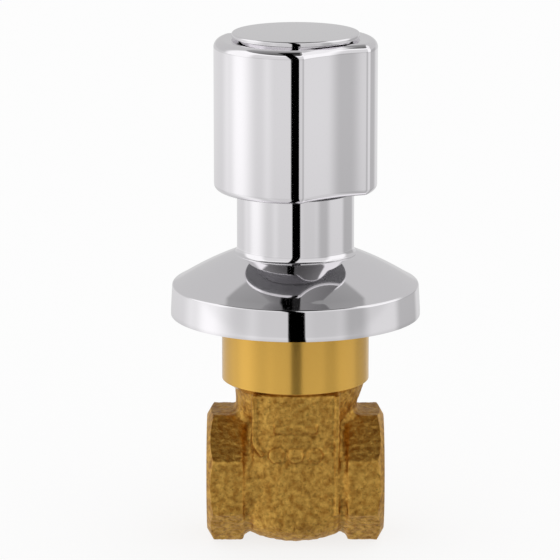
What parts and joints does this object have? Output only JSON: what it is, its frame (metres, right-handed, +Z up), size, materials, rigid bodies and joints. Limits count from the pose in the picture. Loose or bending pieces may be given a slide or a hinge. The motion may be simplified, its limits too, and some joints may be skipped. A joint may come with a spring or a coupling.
{
  "type": "concealed stop valve",
  "caption": "Brass gate stop valve for pipes in a wall, with threaded octagonal ends, turned collar, round wall flange, sleeve and fluted turning knob.",
  "frame": {"origin": "on the valve axis, in the plane of the lower flats of the pipe ends that the valve stands on", "axes": "+Z up the valve axis towards the knob, +X along the pipe towards the outlet, -Y the front"},
  "size_m": [0.0644, 0.0644, 0.1331],
  "materials": {
    "chrome_plate": "polished chrome plate",
    "cast_brass": "sand cast, rough and dull",
    "turned_brass": "fine turned",
    "stainless_steel": "bright, fine turned",
    "black_rubber": "moulded, matt",
    "packing_fibre": "pressed fibre and packing",
    "moulded_plastic": "moulded, satin"
  },
  "bodies": {
    "root": {"valve_body": "cast_brass", "bonnet": "turned_brass", "bonnet_gasket": "packing_fibre", "lower_thrust_washer": "stainless_steel", "upper_thrust_washer": "stainless_steel", "lower_packing_ring": "packing_fibre", "upper_packing_ring": "packing_fibre", "gland_follower": "turned_brass", "gland_nut": "turned_brass", "sleeve": "chrome_plate", "escutcheon": "chrome_plate"},
    "handle": {"stem": "turned_brass", "stem_o_ring": "black_rubber", "knob_insert": "moulded_plastic", "screw_washer": "stainless_steel", "knob_screw": "stainless_steel", "knob": "chrome_plate", "knob_cap": "chrome_plate", "cap_o_ring": "black_rubber"},
    "gate": {"gate": "cast_brass"}
  },
  "joints": [
    {"name": "knob_turn", "type": "hinge", "parent": "root", "child": "handle", "pos_m": [0, 0, 0], "axis": [0, 0, 1], "range_deg": [0, 2880]},
    {"name": "gate_travel", "type": "slide", "parent": "root", "child": "gate", "axis": [0, 0, 1], "range_m": [0, 0.02]}
  ],
  "couplings": [
    {"joint": "gate_travel", "follows": "knob_turn", "m_per_rad": 0.00039788}
  ]
}
